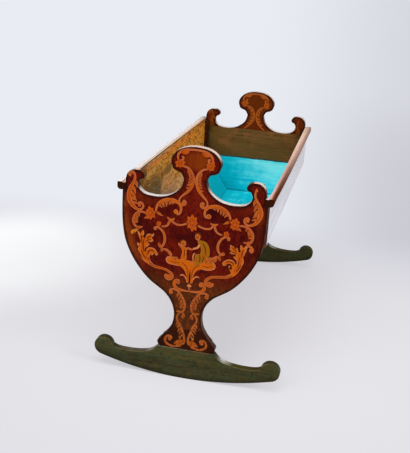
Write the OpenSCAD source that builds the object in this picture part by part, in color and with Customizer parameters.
// Rocking cradle: two shield-shaped end boards on waisted pedestals stand on
// curved rockers, and carry a trough-shaped tub between them.
// X is across the cradle, Y along it and Z up. The origin lies on the floor,
// midway between the rockers. The front end is at -Y.

/* [Tub] */
// Length inside the tub, between the two end boards
inner_len = 1000; // [700:10:1300]
// Width over the upright side panels
tub_w = 418; // [400:1:450]
// Thickness of the side panels, sloping sides and bottom
panel_t = 12; // [8:0.5:16]
// Width of the flat bottom inside the tub
floor_w = 186; // [160:1:220]
// Height of the flat bottom above the lower corners of the shield
floor_rise = 15; // [13:0.5:30]
// Height of the sloping sides inside the tub
slope_h = 150; // [120:0.5:170]

/* [End boards] */
// Thickness of an end board without its veneer
board_t = 19; // [15:0.5:30]
// Thickness of the veneer
veneer_t = 1; // [0.6:0.1:2]
// How far the shield's shoulders lie inside the side panels' outer faces
shoulder_inset = 2; // [0:0.5:6]
// Height of the shield from its lower corners to its shoulders
shield_h = 280; // [250:1:330]
// How far the shield's lower corners reach past the edge of the tub's flat bottom
shield_base_reach = 0; // [-2:0.5:8]
// Height of the pedestal from the rocker to the shield's lower corners
pedestal_h = 190; // [140:1:240]
// Width of the pedestal's waist
waist_w = 82; // [60:1:110]
// Height of the waist above the rocker
waist_h = 105; // [85:1:120]
// Width of the foot where it stands on the rocker
foot_w = 156; // [140:1:166]
// Width over the beads at the foot
bead_w = 178; // [172:1:190]
// Height of the bead
bead_h = 42; // [34:1:50]

/* [Crest and ears] */
// Height of the crest above the shoulders
crest_h = 143; // [125:1:170]
// Width of the crest
crest_w = 140; // [110:1:156]
// Width of the crest's neck
crest_neck_w = 65; // [50:1:80]
// Height of the crest's neck above the shoulders
crest_neck_h = 46; // [36:1:52]
// Depth of the scoops beside the crest, below the shoulders
scoop_drop = 9; // [2:0.5:20]
// Height of the ears above the shoulders
ear_h = 61; // [56:1:72]
// Width of an ear, from its tip to its outer side
ear_w = 55; // [48:1:62]
// Width of an ear's stem
ear_stem_w = 37; // [30:1:42]
// Height of the lower edge of the inner veneer, below the shoulders
inner_veneer_drop = 7; // [0:0.5:8.5]

/* [Rockers] */
// Length of a rocker
rocker_len = 567; // [520:1:620]
// Height of a rocker in the middle
rocker_h = 95; // [80:1:110]
// Thickness of a rocker
rocker_t = 22; // [20:0.5:30]
// Radius of the rocking curve
rocker_r = 940; // [850:5:1100]
// Radius of the rolled ends
roll_r = 29; // [26:0.5:32]
// Height of a rocker at its thinnest
rocker_thin_h = 63.5; // [55:0.5:72]
// How far a rocker stands proud of the end board's face
rocker_proud = 2; // [0:0.5:5]

/* [Rails] */
// Width of a top rail
rail_w = 23; // [18:0.5:30]
// Height of a top rail
rail_h = 23; // [16:0.5:26]
// How far a rail is set back from the panel's inner face
rail_setback = 2; // [0:0.5:3]
// How far a rail reaches past the end board's face
rail_reach = 3; // [0:0.5:10]
// Width of the raised nosing along the rail's outer side
nosing_w = 13; // [9:0.5:16]
// Depth of the step between the nosing and the rail's inner strip
nosing_step = 2; // [1:0.5:4]
// Radius of the nosing's corners
nosing_r = 4; // [2:0.5:5]

/* [Corner battens and cleats] */
// Thickness of a corner batten
batten_t = 14; // [10:0.5:18]
// Width of a corner batten along the tub
batten_w = 24; // [18:0.5:36]
// Height of a batten's top above the shoulders
batten_rise = 15; // [5:0.5:20]
// Side of a cleat's square section
cleat_s = 18; // [14:0.5:22]
// Length of a cleat
cleat_len = 120; // [90:1:130]

/* [Joints] */
// Width of the tenon under the foot
tenon_w = 100; // [70:1:110]
// Thickness of the tenon
tenon_t = 10; // [6:0.5:12]
// Length of the tenon
tenon_len = 45; // [30:1:50]
// Diameter of the pegs through the tenon
peg_d = 8; // [5:0.5:10]
// Distance between the pegs
peg_gap = 50; // [30:1:60]
// Wood left in front of a peg's blind end
peg_cover = 3; // [2:0.5:5]
// Diameter of the dowels
dowel_d = 6; // [4:0.5:7]
// Length of a dowel in the end board
dowel_in_board = 13; // [8:0.5:14]
// Length of a dowel in the piece that it holds
dowel_in_piece = 15; // [8:0.5:16]
// Distance of a dowel from the long edges of a sloping side
dowel_inset = 30; // [20:1:45]
// Distance between the dowels in the bottom
floor_dowel_gap = 100; // [70:1:130]
// Distance between the dowels in a cleat
cleat_dowel_gap = 90; // [60:1:100]
// Width of the tongue along a panel's top edge
tongue_w = 4; // [3:0.5:5]
// Height of that tongue
tongue_h = 6; // [4:0.5:8]
// Diameter of a batten nail
nail_d = 2.2; // [1.6:0.1:3]
// Diameter of a nail's head
nail_head_d = 5; // [4:0.5:7]
// Thickness of a nail's head
nail_head_t = 1; // [0.8:0.1:1.5]
// Depth to which a nail enters the piece behind the batten
nail_bite = 9; // [5:0.5:10]
// Distance of the nails from a batten's ends
nail_inset = 28; // [18:1:40]
// Diameter of a cleat screw
screw_d = 4; // [3:0.5:5]
// Diameter of its countersunk head
screw_head_d = 8; // [6:0.5:9]
// Height of its countersunk head
screw_head_t = 2.5; // [2:0.5:4]
// Depth to which a screw enters the bottom
screw_bite = 8; // [4:0.5:9]
// Distance between a cleat's screws
screw_gap = 50; // [30:1:60]
// Gap left round a tenon, a tongue and a rail's end
seat_gap = 0.2; // [0.1:0.05:0.5]
// Gap left round a dowel, peg, nail or screw
pin_gap = 0.1; // [0.05:0.05:0.2]
// Gap left past the blind end of a dowel, tenon or tongue
end_gap = 0.5; // [0.3:0.1:1]

/* [Hidden] */
curve_steps = 5;
arc_steps = 8;
$fn = 48;

// Heights above the floor, and the half-lengths and half-widths that they go with
foot_z = rocker_h;
base_z = foot_z + pedestal_h;
shoulder_z = base_z + shield_h;
floor_z = base_z + floor_rise;
knee_z = floor_z + slope_h;
half_len = inner_len / 2;
board_face = half_len + board_t + veneer_t;
in_x = tub_w / 2 - panel_t;
out_x = tub_w / 2;
shoulder_x = out_x - shoulder_inset;
rail_x = in_x + rail_setback;
ear_x = rail_x - seat_gap;
batten_top_z = shoulder_z + batten_rise;
batten_foot_z = knee_z + end_gap;
cleat_z = floor_z - panel_t - cleat_s;

// The sloping side's direction up the slope and its outward normal
slope_run = in_x - floor_w / 2;
slope_len = norm([slope_run, slope_h]);
up_slope = [slope_run, slope_h] / slope_len;
off_slope = [up_slope.y, -up_slope.x];

// The rolled end's centre, inside the rocking curve, and where the two touch
roll_x = rocker_len / 2 - roll_r;
roll_z = rocker_r - sqrt(pow(rocker_r - roll_r, 2) - pow(roll_x, 2));
touch_x = roll_x * rocker_r / (rocker_r - roll_r);

// A smooth curve through points, with curve_steps steps from each to the next
function spline(a, b, c, d, t) =
  (2 * b + (c - a) * t + (2 * a - 5 * b + 4 * c - d) * t * t
    + (3 * b - a - 3 * c + d) * t * t * t) / 2;
function curve(p) = let (n = len(p) - 1) concat(
  [for (i = [0 : n - 1]) for (k = [0 : curve_steps - 1]) spline(
    i > 0 ? p[i - 1] : 2 * p[0] - p[1],
    p[i],
    p[i + 1],
    i < n - 1 ? p[i + 2] : 2 * p[n] - p[n - 1],
    k / curve_steps)],
  [p[n]]);

// Points from a to b, placed by their shares of the way across and of the way up
function between(a, b, shares) = [for (s = shares) [a.x + (b.x - a.x) * s.x, a.y + (b.y - a.y) * s.y]];

function arc(c, r, from, to) =
  [for (k = [0 : arc_steps]) let (a = from + (to - from) * k / arc_steps) c + r * [cos(a), sin(a)]];

function flip(p) = [for (i = [len(p) - 1 : -1 : 0]) [-p[i].x, p[i].y]];

// Turning points of the end board's right half, from the crest down
crest_top = [0, shoulder_z + crest_h];
crest_side = [crest_w / 2, shoulder_z + 0.67 * crest_h];
crest_cusp = [0.457 * crest_w, shoulder_z + 0.54 * crest_h];
crest_neck = [crest_neck_w / 2, shoulder_z + crest_neck_h];
scoop_side = [ear_x - ear_stem_w, shoulder_z + 0.36 * ear_h];
scoop_low = [0.386 * crest_neck.x + 0.614 * scoop_side.x, shoulder_z - scoop_drop];
ear_point = [ear_x - ear_w, shoulder_z + 0.75 * ear_h];
ear_root = [0.67 * scoop_side.x + 0.33 * ear_point.x, shoulder_z + 0.57 * ear_h];
ear_top = [0.62 * ear_point.x + 0.38 * ear_x, shoulder_z + ear_h];
ear_side = [ear_x, shoulder_z + 0.54 * ear_h];
shield_low = [floor_w / 2 + shield_base_reach, base_z];
waist = [waist_w / 2, foot_z + waist_h];
bead_top = [0.83 * bead_w / 2, foot_z + bead_h];
bead_side = [bead_w / 2, foot_z + 0.45 * bead_h];
foot = [foot_w / 2, foot_z];

function crest_run() = curve(concat(
  [[-0.2 * crest_w, crest_top.y - 0.021 * crest_h], crest_top],
  between(crest_top, crest_side, [[0.4, 0.064], [0.73, 0.277], [0.943, 0.638]]),
  [crest_side, crest_cusp]));
function scoop_run() = curve(concat(
  [crest_cusp],
  between(crest_cusp, crest_neck, [[0.26, 0.16], [0.7, 0.33], [0.97, 0.74]]),
  [crest_neck],
  between(crest_neck, scoop_low, [[0.09, 0.38], [0.3, 0.69], [0.6, 0.918]]),
  [scoop_low],
  between(scoop_low, scoop_side, [[0.6, 0.129], [0.92, 0.516]]),
  [scoop_side, ear_root]));
function ear_run() = curve(concat(
  [ear_root],
  between(ear_root, ear_point, [[0.667, 0.27]]),
  [ear_point],
  between(ear_point, ear_top, [[0.3, 0.667]]),
  [ear_top],
  between(ear_top, ear_side, [[0.49, 0.07], [0.86, 0.46]]),
  [ear_side]));
function shield_run() = let (shoulder = [shoulder_x, shoulder_z]) curve(concat(
  [shoulder],
  between(shoulder, shield_low, [
    [0, 0.161], [0.013, 0.304], [0.044, 0.414], [0.096, 0.518],
    [0.202, 0.629], [0.364, 0.746], [0.583, 0.861], [0.781, 0.939]]),
  [shield_low]));
function pedestal_run() = curve(concat(
  [shield_low],
  between(shield_low, waist, [[0.385, 0.165], [0.731, 0.412], [0.942, 0.706]]),
  [waist],
  between(waist, bead_top, [[0.121, 0.397], [0.424, 0.714]]),
  [bead_top]));
function bead_run() = curve(concat(
  [bead_top],
  between(bead_top, bead_side, [[0.4, 0.174], [0.867, 0.522]]),
  [bead_side],
  between(bead_side, foot, [[0.364, 0.632]]),
  [foot]));

// The first stretch of the crest's curve only sets its slope, so it is left out
function half_outline() = let (crest = crest_run()) concat(
  [for (i = [curve_steps + 1 : len(crest) - 1]) crest[i]],
  scoop_run(),
  ear_run(),
  [[ear_x, shoulder_z]],
  shield_run(),
  pedestal_run(),
  bead_run());

module board_outline() polygon(concat([crest_top], half_outline(), flip(half_outline())));

// Stands a flat outline up across the cradle, from y over a thickness t
module upright(y, t) translate([0, y + t, 0]) rotate([90, 0, 0]) linear_extrude(t) children();

// Lays an outline of the cross-section along the cradle, over a length l
module along(l) upright(-l / 2, l) children();

// What is drawn at the front end is mirrored for the back end, and likewise right to left
module back() mirror([0, 1, 0]) children();
module left() mirror([1, 0, 0]) children();
module both_sides() {
  children();
  left() children();
}

// Where the dowels of one end stand, as [x, z]
function slope_point(d) =
  [floor_w / 2, floor_z] + d * up_slope + panel_t / 2 * off_slope;
dowel_spots = [
  slope_point(dowel_inset),
  slope_point(slope_len - dowel_inset),
  [floor_dowel_gap / 2, floor_z - panel_t / 2],
  [cleat_dowel_gap / 2, cleat_z + cleat_s / 2]
];

module dowel_set(gap, reach) both_sides() for (s = dowel_spots)
  translate([s.x, dowel_in_piece + reach - half_len, s.y]) rotate([90, 0, 0])
    cylinder(d = dowel_d + 2 * gap, h = dowel_in_piece + dowel_in_board + 2 * reach);

module peg_set(gap) both_sides()
  translate([peg_gap / 2, rocker_t - board_face - rocker_proud + gap, foot_z - tenon_len / 2])
    rotate([90, 0, 0]) cylinder(d = peg_d + 2 * gap, h = rocker_t - peg_cover + 2 * gap);

module screw_set(gap) both_sides()
  translate([screw_gap / 2, cleat_s / 2 - half_len, cleat_z - gap]) {
    cylinder(d = screw_d + 2 * gap, h = cleat_s + screw_bite + 2 * gap);
    cylinder(d1 = screw_head_d + 2 * gap, d2 = screw_d + 2 * gap, h = screw_head_t);
  }

module nail(bite, gap) {
  cylinder(d = nail_d + 2 * gap, h = bite + gap);
  translate([0, 0, -nail_head_t]) cylinder(d = nail_head_d, h = nail_head_t);
}

// Nails of the front right batten: the outer pair enters the end board, the inner pair the panel
module nail_set(gap) for (end = [0, 1]) {
  z = end == 0 ? batten_foot_z + nail_inset : shoulder_z - nail_inset;
  step = end == 0 ? nail_head_d : -nail_head_d;
  translate([in_x - batten_t / 2, batten_w - half_len, z]) rotate([90, 0, 0])
    nail(batten_w + nail_bite, gap);
  translate([in_x - batten_t, batten_w / 2 - half_len, z + step]) rotate([0, 90, 0])
    nail(batten_t + nail_bite, gap);
}

module all_nails(gap) both_sides() {
  nail_set(gap);
  back() nail_set(gap);
}

module tenon(gap, reach) translate([-tenon_w / 2 - gap, -half_len - board_t / 2 - tenon_t / 2 - gap,
    foot_z - tenon_len - reach])
  cube([tenon_w + 2 * gap, tenon_t + 2 * gap, tenon_len + 2 * reach]);

module one_board() color("#4a2412") difference() {
  union() {
    upright(-half_len - board_t, board_t) board_outline();
    tenon(0, 0);
  }
  dowel_set(pin_gap, end_gap);
  peg_set(pin_gap);
  all_nails(pin_gap);
}
module front_board() one_board();
module back_board() back() one_board();

module one_veneer() color("#6a1f10") upright(-board_face, veneer_t) board_outline();
module front_veneer() one_veneer();
module back_veneer() back() one_veneer();

// The inner veneer covers the crest and ears, and stops at the corner battens
module one_inner_veneer() color("#5c2412") upright(-half_len, veneer_t) difference() {
  intersection() {
    board_outline();
    translate([-tub_w, shoulder_z - inner_veneer_drop]) square([2 * tub_w, 2 * crest_h]);
  }
  both_sides() translate([in_x - batten_t - seat_gap, 0]) square([tub_w, batten_top_z + seat_gap]);
}
module front_inner_veneer() one_inner_veneer();
module back_inner_veneer() back() one_inner_veneer();

// The rocker's upper edge on the right, from the foot to the rolled end
ledge = [foot.x + 8, rocker_h];
thin = [0.65 * (roll_x + roll_r / 2) - 5, rocker_thin_h];
lip = [roll_x - roll_r, roll_z + 0.2 * roll_r];
function top_run() = curve(concat(
  [ledge],
  between(ledge, thin, [[0.17, 0.476], [0.4, 0.765], [0.68, 0.93]]),
  [thin],
  between(thin, lip, [[0.5, 0.05], [0.8, 0.35]]),
  [lip]));

module rocker_outline() {
  intersection() {
    translate([0, rocker_r]) circle(r = rocker_r, $fn = 720);
    polygon(concat(
      top_run(),
      [[roll_x, roll_z], [touch_x, roll_z], [touch_x, 0], [-touch_x, 0], [-touch_x, roll_z], [-roll_x, roll_z]],
      flip(top_run())));
  }
  for (x = [-roll_x, roll_x]) translate([x, roll_z]) circle(r = roll_r, $fn = 96);
}

module one_rocker() color("#3c3f22") difference() {
  upright(-board_face - rocker_proud, rocker_t) intersection() {
    rocker_outline();
    translate([-rocker_len, 0]) square([2 * rocker_len, rocker_h]);
  }
  tenon(seat_gap, end_gap);
  peg_set(pin_gap);
}
module front_rocker() one_rocker();
module back_rocker() back() one_rocker();

module front_rocker_pegs() color("#7a5a32") peg_set(0);
module back_rocker_pegs() back() front_rocker_pegs();

// Cross-sections of the tub's pieces on the right
knee_in = [in_x, knee_z];
knee_out = [out_x, knee_z - panel_t * (1 - up_slope.y) / up_slope.x];
low_z = floor_z - panel_t;
low_in = [floor_w / 2 - panel_t * up_slope.x / up_slope.y, low_z];
low_out = [low_in.x + panel_t / up_slope.y, low_z];
tongue_x = in_x + panel_t / 2 - tongue_w / 2;

module side_panel() color("#8a5a24") difference() {
  along(inner_len) {
    polygon([knee_in, knee_out, [out_x, shoulder_z], [in_x, shoulder_z]]);
    translate([tongue_x, shoulder_z]) square([tongue_w, tongue_h]);
  }
  all_nails(pin_gap);
}
module right_side_panel() side_panel();
module left_side_panel() left() side_panel();

module sloping_side() color("#1fb4c8") difference() {
  along(inner_len) polygon([knee_in, low_in, low_out, knee_out]);
  dowel_set(pin_gap, end_gap);
  back() dowel_set(pin_gap, end_gap);
}
module right_sloping_side() sloping_side();
module left_sloping_side() left() sloping_side();

module bottom_board() color("#1fa8bc") difference() {
  along(inner_len) polygon([
    [-floor_w / 2, floor_z], [floor_w / 2, floor_z], low_in, [-low_in.x, low_z]]);
  dowel_set(pin_gap, end_gap);
  back() dowel_set(pin_gap, end_gap);
  screw_set(pin_gap);
  back() screw_set(pin_gap);
}

// The rail sits on the panel's top edge, with a groove over its tongue
module top_rail() color("#6b3a22") let (
  rail_out = rail_x + rail_w,
  top_z = shoulder_z + rail_h,
  r = nosing_r
) difference() {
  along(2 * (board_face + rail_reach)) polygon(concat(
    [[rail_x, shoulder_z]],
    arc([rail_out - r, shoulder_z + r], r, -90, 0),
    arc([rail_out - r, top_z - r], r, 0, 90),
    arc([rail_out - nosing_w, top_z - nosing_step], nosing_step, 90, 180),
    [[rail_x, top_z - nosing_step]]));
  along(inner_len + 2 * end_gap) translate([tongue_x - seat_gap, shoulder_z - tongue_h])
    square([tongue_w + 2 * seat_gap, 2 * tongue_h + end_gap]);
}
module right_top_rail() top_rail();
module left_top_rail() left() top_rail();

module batten() color("#2a160c") difference() {
  translate([in_x - batten_t, -half_len, batten_foot_z])
    cube([batten_t, batten_w, batten_top_z - batten_foot_z]);
  nail_set(pin_gap);
}
module front_right_batten() batten();
module front_left_batten() left() batten();
module back_right_batten() back() batten();
module back_left_batten() back() left() batten();

module batten_nails() color("#55524c") all_nails(0);

module cleat() color("#5a3a20") difference() {
  translate([-cleat_len / 2, -half_len, cleat_z]) cube([cleat_len, cleat_s, cleat_s]);
  dowel_set(pin_gap, end_gap);
  screw_set(pin_gap);
}
module front_cleat() cleat();
module back_cleat() back() cleat();

module cleat_screws() color("#55524c") {
  screw_set(0);
  back() screw_set(0);
}

module front_dowels() color("#9a7a4a") dowel_set(0, 0);
module back_dowels() back() front_dowels();

front_board();
back_board();
front_veneer();
back_veneer();
front_inner_veneer();
back_inner_veneer();
front_rocker();
back_rocker();
front_rocker_pegs();
back_rocker_pegs();
left_side_panel();
right_side_panel();
left_sloping_side();
right_sloping_side();
bottom_board();
left_top_rail();
right_top_rail();
front_left_batten();
front_right_batten();
back_left_batten();
back_right_batten();
batten_nails();
front_cleat();
back_cleat();
cleat_screws();
front_dowels();
back_dowels();
